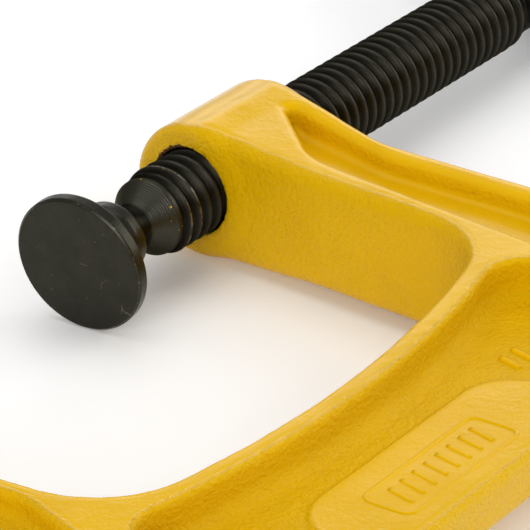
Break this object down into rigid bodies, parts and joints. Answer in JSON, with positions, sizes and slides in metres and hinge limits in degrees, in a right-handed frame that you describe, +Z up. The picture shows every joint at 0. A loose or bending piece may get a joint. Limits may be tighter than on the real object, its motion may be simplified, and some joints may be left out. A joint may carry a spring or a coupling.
{
  "type": "c clamp",
  "caption": "Yellow cast C-clamp with a T-section spine, black screw, tilted swivel pad and sliding tommy bar, lying on its side.",
  "frame": {"origin": "centre of the anvil face, on the screw axis", "axes": "+X along the screw axis from the anvil towards the handle; +Y out of the throat; +Z up, square to the flat of the frame, with the clamp lying on its side"},
  "size_m": [0.28, 0.1681, 0.0259],
  "materials": {
    "frame_enamel": "glossy yellow enamel on a sand casting",
    "screw_black_oxide": "black oxide, worn on the thread crests",
    "pad_black_oxide": "black oxide, faintly scratched",
    "bar_black_oxide": "black oxide",
    "cap_black_oxide": "black oxide"
  },
  "bodies": {
    "frame": {"frame": "frame_enamel"},
    "swivel_pad": {"swivel_pad": "pad_black_oxide"},
    "screw": {"screw": "screw_black_oxide"},
    "tommy_bar": {"tommy_bar": "bar_black_oxide", "bar_cap_left": "cap_black_oxide", "bar_cap_right": "cap_black_oxide"}
  },
  "joints": [
    {"name": "screw_travel", "type": "slide", "parent": "frame", "child": "swivel_pad", "axis": [-1, 0, 0], "range_m": [-0.02, 0.0784]},
    {"name": "screw_turn", "type": "hinge", "parent": "swivel_pad", "child": "screw", "pos_m": [0.0891, 0, 0], "axis": [-1, 0, 0], "range_deg": [-2483, 9733]},
    {"name": "bar_slide", "type": "slide", "parent": "screw", "child": "tommy_bar", "axis": [0, 1, 0], "range_m": [-0.0425, 0.0425]}
  ],
  "couplings": [
    {"joint": "screw_turn", "follows": "screw_travel", "rad_per_m": 2166.6}
  ]
}
